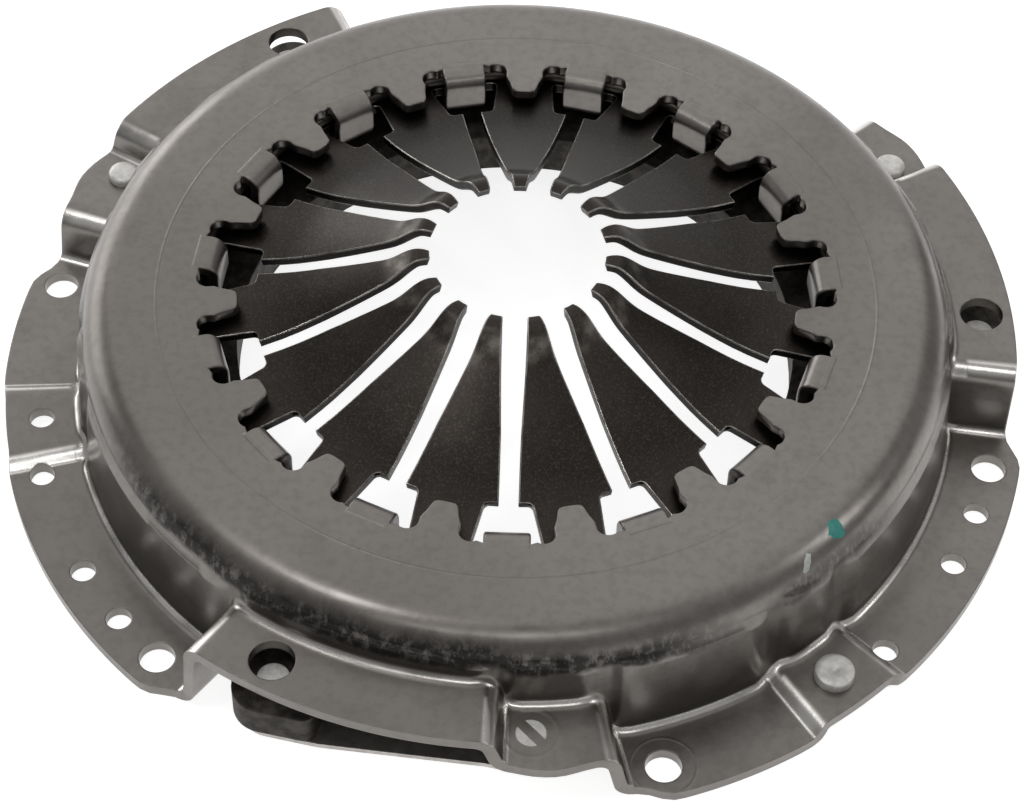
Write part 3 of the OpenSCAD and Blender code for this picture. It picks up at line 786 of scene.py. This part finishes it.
def cover_material():
    m = Nodes("pressed_cover_steel")
    cloud = m.noise(9.0, 3.0, 0.5)
    grain = m.noise(420.0, 4.0, 0.6)
    x, y, z = m.place()[:3]
    tone = m.mix(m.ramp(cloud, 0.35, 0.68), srgb(115, 111, 107), srgb(127, 123, 119))
    tone = m.mix(m.math("MULTIPLY", m.ramp(grain, 0.44, 0.64), 0.22), tone, srgb(92, 87, 83))
    streak = m.ramp(m.noise(30.0, 5.0, 0.65, (1.0, 1.0, 5.0), 8.2), 0.5, 0.72)
    tone = m.mix(m.math("MULTIPLY", streak, 0.3), tone, srgb(84, 79, 75))
    # Dark band under the shoulder at the front, partly scuffs and partly painted dark reflection,
    # ragged in height, in two stretches
    radius = m.math("SQRT", m.math("ADD", m.math("POWER", x, 2.0), m.math("POWER", y, 2.0)))
    ragged = m.math("MULTIPLY", m.math("SUBTRACT", m.noise(42.0, 5.0, 0.62, None, 5.5), 0.5), 0.008)
    level = m.math("ADD", m.math("ADD", z, ragged), m.ramp(x, -0.004, 0.006, 0.0, 0.002))
    band = m.math("MULTIPLY", m.ramp(level, 0.0288, 0.0312), m.ramp(level, 0.0375, 0.0335))
    band = m.math("MULTIPLY", band, m.ramp(radius, 0.1065, 0.1085))
    long_part = m.math("MULTIPLY", m.ramp(x, -0.106, -0.085), m.ramp(x, 0.066, 0.03))
    short_part = m.math("MULTIPLY", m.ramp(x, 0.058, 0.07), m.ramp(x, 0.098, 0.085))
    both = m.math("MAXIMUM", long_part, m.math("MULTIPLY", short_part, 0.6))
    where = m.math("MULTIPLY", m.ramp(y, -0.02, -0.05), both)
    speck = m.ramp(m.noise(420.0, 5.0, 0.75, (1.0, 1.0, 0.4), 3.1), 0.36, 0.54, 0.45, 1.0)
    scuff_and_dark_reflection = m.math("MULTIPLY", m.math("MULTIPLY", band, where), speck)
    # Near-black colour over the band: scuff marks plus a painted dark reflection
    tone = m.mix(m.math("MULTIPLY", scuff_and_dark_reflection, 0.9), tone, srgb(22, 19, 17))
    tone = m.mix(m.math("MULTIPLY", m.edge(0.0007), 0.3), tone, srgb(170, 166, 161))
    # Bends of the flange and of its steps, painted near-white as highlight lines
    lean = m.normal_z()
    foot = m.math("MULTIPLY", m.ramp(radius, 0.1132, 0.1142), m.ramp(radius, 0.1182, 0.117))
    foot = m.math("MULTIPLY", foot, m.math("MULTIPLY", m.ramp(lean, 0.3, 0.5), m.ramp(lean, 0.93, 0.8)))
    foot = m.math("MULTIPLY", foot, m.ramp(z, 0.0325, 0.0305))
    crest = m.math("MULTIPLY", m.ramp(radius, 0.1165, 0.118), m.ramp(lean, 0.98, 0.9))
    crest = m.math("MULTIPLY", crest, m.ramp(lean, 0.45, 0.7))
    # Ragged noise that breaks up the painted highlight along the bends
    wear = m.ramp(m.noise(55.0, 3.0, 0.6, None, 2.9), 0.3, 0.6, 0.35, 1.0)
    bend_highlight = m.math("MULTIPLY", m.math("MAXIMUM", foot, crest), wear)
    # Painted highlight: near-white colour on the bends
    tone = m.mix(m.math("MULTIPLY", bend_highlight, 0.95), tone, srgb(232, 229, 225))
    rough = m.ramp(m.noise(60.0, 5.0, 0.6, None, 1.7), 0.3, 0.7, 0.29, 0.4)
    rough = m.math("SUBTRACT", rough, m.math("MULTIPLY", bend_highlight, 0.1))
    rough = m.math("ADD", rough, m.math("MULTIPLY", scuff_and_dark_reflection, 0.25))
    # Pressed rings round the front strap rivet and the front bolt hole
    strap_ring = ring_mark(m, x, y, PAD_A, STRAP_R, size=6.6, width=0.9)
    bolt_ring = ring_mark(m, x, y, BOLT_A, BOLT_PITCH_R, size=8.0, width=0.6)
    marks = m.math("MAXIMUM", strap_ring, bolt_ring)
    height = m.math("ADD", grain, m.math("MULTIPLY", marks, 1.3))
    return m.metal(tone, rough, metallic=1.0, bump=height, bump_size=0.00003, bevel=0.0006, oil=0.2)


def finger_material():
    m = Nodes("oiled_spring_steel")
    grain = m.noise(1700.0, 3.0, 0.7)
    cloud = m.noise(22.0, 4.0, 0.6)
    tone = m.mix(m.ramp(cloud, 0.35, 0.65), srgb(36, 33, 30), srgb(52, 48, 45))
    tone = m.mix(m.math("MULTIPLY", m.ramp(grain, 0.48, 0.7), 0.3), tone, srgb(92, 87, 82))
    z = m.place()[2]
    # Painted sheen: a streaky lighter colour on the fingers' bend near their tips
    streak = m.ramp(m.noise(160.0, 4.0, 0.7, (1.0, 1.0, 0.25), 4.4), 0.4, 0.62, 0.1, 1.0)
    bend = m.math("MULTIPLY", m.ramp(z, 0.0455, 0.0485), m.ramp(z, 0.0525, 0.0495))
    tone = m.mix(m.math("MULTIPLY", m.math("MULTIPLY", bend, streak), 0.6), tone, srgb(112, 107, 101))
    # Stamped side faces are painted darker, as shade, and their edges are rubbed bright
    side = m.ramp(m.math("ABSOLUTE", m.normal_z()), 0.45, 0.25)
    tone = m.mix(m.math("MULTIPLY", side, 0.75), tone, srgb(20, 18, 17))
    patchy = m.ramp(m.noise(90.0, 3.0, 0.6, None, 6.1), 0.35, 0.6, 0.3, 1.0)
    rub = m.math("MULTIPLY", m.edge(0.0004, 0.015, 0.09), patchy)
    tone = m.mix(rub, tone, srgb(216, 211, 204))
    rough = m.ramp(cloud, 0.3, 0.7, 0.26, 0.38)
    return m.metal(tone, rough, metallic=1.0, bump=grain, bump_size=0.00003, bevel=0.0003, oil=0.08)


def plain_metal(name, dark, light, rough, metallic, scale, size, bevel, wear):
    """Grained metal between two tones, with edges of that bevel worn brighter."""
    m = Nodes(name)
    grain = m.noise(scale, 5.0, 0.65)
    tone = m.mix(m.ramp(grain, 0.35, 0.65), srgb(*dark), srgb(*light))
    if wear:
        bright = srgb(*[min(255, c + more) for c, more in zip(light, (50, 48, 45))])
        tone = m.mix(m.math("MULTIPLY", m.edge(bevel * 1.5), wear), tone, bright)
    return m.metal(tone, rough, metallic, grain, size, bevel)


def paint(name, colour):
    m = Nodes(name)
    grain = m.noise(900.0, 3.0, 0.6)
    tone = m.mix(m.ramp(grain, 0.3, 0.7), srgb(*colour), srgb(*[int(c * 0.88) for c in colour]))
    return m.metal(tone, rough=0.45, metallic=0.0, bump=grain, bump_size=0.00003)


def set_material(obj, mat):
    obj.data.materials.clear()
    obj.data.materials.append(mat)
    for p in obj.data.polygons:
        p.material_index = 0


# Build the pieces
steel = cover_material()
spring = finger_material()
strap_mat = plain_metal("strap_steel_bright", (180, 176, 171), (204, 200, 195),
                        rough=0.32, metallic=0.9, scale=300.0, size=0.00002, bevel=0.0002, wear=0.2)
rivet_mat = plain_metal("rivet_steel_zinc", (192, 190, 187), (214, 212, 208),
                        rough=0.45, metallic=0.5, scale=500.0, size=0.00003, bevel=0.0004, wear=0.4)
# Near-black matte for inside the rivet's slot: painted shade in the recess
slot_shade_mat = plain_metal("rivet_slot_painted_shade", (8, 7, 7), (14, 13, 12),
                       rough=0.8, metallic=0.0, scale=500.0, size=0.00003, bevel=0.0, wear=0.0)
iron = plain_metal("cast_iron_plate", (44, 41, 38), (76, 71, 66),
                   rough=0.6, metallic=0.7, scale=260.0, size=0.0003, bevel=0.0008, wear=0.25)
wire = plain_metal("ring_wire", (60, 56, 52), (78, 73, 68),
                   rough=0.4, metallic=0.85, scale=400.0, size=0.00002, bevel=0.0003, wear=0.0)

cover_obj = cover()
set_material(cover_obj, steel)
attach(cover_obj, "cover_body")
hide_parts("cover")

finger_obj = finger()
set_material(finger_obj, spring)
finger_mesh = finger_obj.data
bpy.data.objects.remove(finger_obj)
for k in range(FINGERS):
    name = "spring_finger_%02d" % (k + 1)
    obj = bpy.data.objects.new(name + "_shaped", finger_mesh)
    bpy.context.scene.collection.objects.link(obj)
    obj.rotation_euler = (0, 0, math.radians(FRONT + (k + 0.5) * PITCH))
    bpy.context.view_layer.update()
    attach(obj, name)
    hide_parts(name)

for i in range(3):
    for number in (1, 2, 3):
        obj = leaf(i, number)
        set_material(obj, strap_mat)
        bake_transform(obj)
        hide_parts("strap_%d_leaf_%d" % (i + 1, number))

rivets = cover_rivets()
set_material(rivets, rivet_mat)
rivets.data.materials.append(slot_shade_mat)
# Faces inside the slot of the flush rivet get painted shade, a near-black matte
slot_place = STRAP_R * MM * unit(PAD_A + FRONT)
slot_low, slot_high, slot_reach = 0.0148, 0.0172, 0.0034
for p in rivets.data.polygons:
    if slot_low < p.center.z < slot_high and math.dist(p.center[:2], slot_place) < slot_reach:
        p.material_index = 1
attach(rivets, "cover_body")
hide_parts("cover_strap_rivets")
weight = balance_rivet()
set_material(weight, rivet_mat)
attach(weight, "cover_body")
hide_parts("balance_rivet")

for name, mat in (("pressure_plate", iron), ("plate_strap_rivets", rivet_mat), ("fulcrum_ring", wire)):
    set_material(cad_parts[name], mat)

# Camera at the viewing angle of the photograph, and its focal length in pixels of a 1024 wide frame
IMAGE_W, IMAGE_H = 1024.0, 810.0
FOCAL = 2837.4
SENSOR = 36.0
cam_data = bpy.data.cameras.new("camera")
cam_data.sensor_fit = "HORIZONTAL"
cam_data.sensor_width = SENSOR
cam_data.lens = SENSOR * FOCAL / IMAGE_W
cam_data.clip_start = 0.01
cam_data.clip_end = 50.0
cam = bpy.data.objects.new("camera", cam_data)
cam.location = (0.003743, -0.486563, 0.581502)
cam.rotation_euler = [math.radians(a) for a in (39.4531, -0.9947, 1.6939)]
bpy.context.scene.collection.objects.link(cam)
bpy.context.scene.camera = cam
bpy.context.view_layer.update()


# Two small paint marks low on the shoulder, laid on the sheet where they are seen
def ray(px, py):
    aim = Vector(((px - IMAGE_W / 2) / FOCAL, (IMAGE_H / 2 - py) / FOCAL, -1.0))
    return cam.location, (cam.rotation_euler.to_matrix() @ aim).normalized()


cover_mesh = cover_obj.data
tree = BVHTree.FromPolygons([v.co.copy() for v in cover_mesh.vertices],
                            [list(p.vertices) for p in cover_mesh.polygons])


def dab(name, outline, mat):
    """Thin closed patch whose outline is given in pixels of the 1024 wide frame."""
    lift, edge_lift, sink = 0.00006, 0.00001, 0.00002
    c = np.mean(outline, axis=0)
    rings = [[c + s * (np.array(p) - c) for p in outline] for s in (1.0, 0.85, 0.5)]
    n = len(outline)
    tops = []
    for k, ring in enumerate(rings + [[c]]):
        for p in ring:
            hit, normal, _, _ = tree.ray_cast(*ray(*p))
            tops.append((hit, normal, lift if k else edge_lift))
    verts = [h + normal * up for h, normal, up in tops] + [h - normal * sink for h, normal, _ in tops]
    m = len(tops)
    faces = []
    for off, flip in ((0, False), (m, True)):
        side = []
        for j in range(n):
            i = (j + 1) % n
            for k in range(len(rings) - 1):
                inner, outer = off + (k + 1) * n, off + k * n
                side.append([outer + j, outer + i, inner + i, inner + j])
            last = off + (len(rings) - 1) * n
            side.append([last + j, last + i, off + m - 1])
        faces += [q[::-1] if flip else q for q in side]
    for j in range(n):
        faces.append([j, m + j, m + (j + 1) % n, (j + 1) % n])
    obj = to_object(name, verts, faces, 1.0)
    fix_normals(obj)
    finish_mesh(obj, 60)
    set_material(obj, mat)
    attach(obj, "cover_body")


green_dot = [(827, 523), (832, 519), (838, 519), (842, 524), (846, 533),
             (841, 538), (834, 539), (828, 535), (829, 529)]
pale_dash = [(806, 553), (811, 554), (811, 562), (809, 570), (805, 574), (803, 572), (804, 562)]
dab("paint_dot", green_dot, paint("paint_green", (44, 138, 128)))
dab("chalk_dash", pale_dash, paint("chalk_pale", (188, 190, 186)))


# Pale floor, white backdrop and soft light
WHITE = (1.0, 1.0, 1.0, 1.0)
FLOOR_GREY = (0.5, 0.5, 0.5, 1.0)
FLOOR_GLOW = 0.84
FLOOR_HALF, FLOOR_Z = 6, -0.0004
SKY_LIGHT = 0.3


def floor_material():
    """Grey to the light, and white where the camera or a reflection sees it."""
    m = Nodes("studio_floor")
    path = m.add("ShaderNodeLightPath")
    seen = m.math("MAXIMUM", path.outputs["Is Camera Ray"], path.outputs["Is Glossy Ray"])
    diffuse = m.add("ShaderNodeBsdfDiffuse")
    diffuse.inputs["Color"].default_value = FLOOR_GREY
    glow = m.add("ShaderNodeEmission")
    glow.inputs["Color"].default_value = WHITE
    m.put(m.math("MULTIPLY", seen, FLOOR_GLOW), glow.inputs["Strength"])
    add = m.add("ShaderNodeAddShader")
    m.link(diffuse.outputs[0], add.inputs[0])
    m.link(glow.outputs[0], add.inputs[1])
    m.link(add.outputs[0], m.out.inputs["Surface"])
    return m.mat


corners = [(x * FLOOR_HALF, y * FLOOR_HALF, FLOOR_Z) for x, y in ((-1, -1), (1, -1), (1, 1), (-1, 1))]
floor = to_object("studio_floor", corners, [[0, 1, 2, 3]], 1.0)
set_material(floor, floor_material())

# The world is white to the camera and dimmer as a light
sky = bpy.data.worlds.new("studio")
bpy.context.scene.world = sky
sky.use_nodes = True
sky_nodes = sky.node_tree.nodes
sky_links = sky.node_tree.links
sky_nodes["Background"].inputs["Color"].default_value = WHITE
strength = sky_nodes.new("ShaderNodeMapRange")
strength.inputs["To Min"].default_value = SKY_LIGHT
strength.inputs["To Max"].default_value = 1.0
sky_links.new(sky_nodes.new("ShaderNodeLightPath").outputs["Is Camera Ray"], strength.inputs["Value"])
sky_links.new(strength.outputs["Result"], sky_nodes["Background"].inputs["Strength"])


def lamp(name, place, aim, size, size_y, power):
    data = bpy.data.lights.new(name, "AREA")
    data.energy = power
    data.shape = "RECTANGLE"
    data.size = size
    data.size_y = size_y
    obj = bpy.data.objects.new(name, data)
    bpy.context.scene.collection.objects.link(obj)
    obj.location = place
    obj.rotation_euler = (Vector(aim) - Vector(place)).to_track_quat("-Z", "Y").to_euler()
    obj.visible_camera = False


LOW_MIDDLE, MIDDLE = (0.0, 0.0, 0.02), (0.0, 0.0, 0.03)
lamp("top", (0.0, 0.4, 1.05), (0.0, 0.2, 0.0), size=1.6, size_y=1.3, power=4.0)
lamp("key", (-0.4, -0.2, 1.0), LOW_MIDDLE, size=0.16, size_y=0.3, power=1.4)
lamp("side", (0.9, -0.1, 0.7), LOW_MIDDLE, size=0.16, size_y=0.4, power=1.0)
lamp("front", (0.0, -0.9, 1.2), LOW_MIDDLE, size=1.0, size_y=0.25, power=2.2)
lamp("left", (-1.3, 1.2, 0.4), MIDDLE, size=1.6, size_y=0.8, power=9.0)
lamp("back", (0.0, 1.5, 0.65), MIDDLE, size=2.4, size_y=1.3, power=6.6)

bpy.context.scene.view_settings.view_transform = "Standard"
